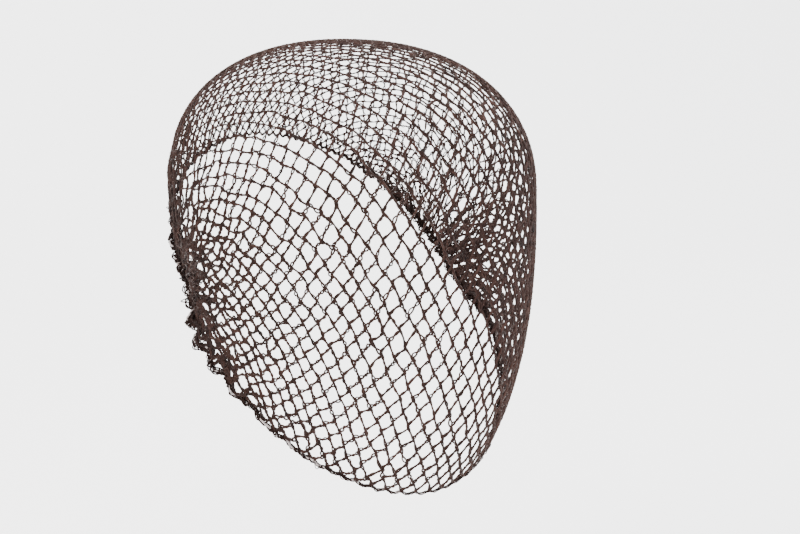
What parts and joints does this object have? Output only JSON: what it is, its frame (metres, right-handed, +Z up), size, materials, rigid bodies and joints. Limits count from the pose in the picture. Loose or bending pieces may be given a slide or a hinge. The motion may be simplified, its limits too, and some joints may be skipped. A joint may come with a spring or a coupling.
{
  "type": "hairnet",
  "caption": "Worn dome of open diamond net, bunched into a fan at each side, its ruffled edge gathered on a thin elastic thread that slopes from forehead to nape.",
  "frame": {"origin": "inside of the crown's top, where the net rests on the head", "axes": "+Z up out of the head's crown, -Y to the forehead, +Y to the back of the head, +X to the wearer's left ear"},
  "size_m": [0.158, 0.1902, 0.1892],
  "materials": {
    "net_yarn": "dark brown twisted nylon yarn, soft sheen",
    "hem_yarn": "the same yarn packed close, matte",
    "elastic": "pale ribbed elastic core, satin"
  },
  "bodies": {
    "root": {"net_cap": "net_yarn", "gathered_hem": "hem_yarn", "elastic_thread": "elastic"}
  },
  "joints": []
}
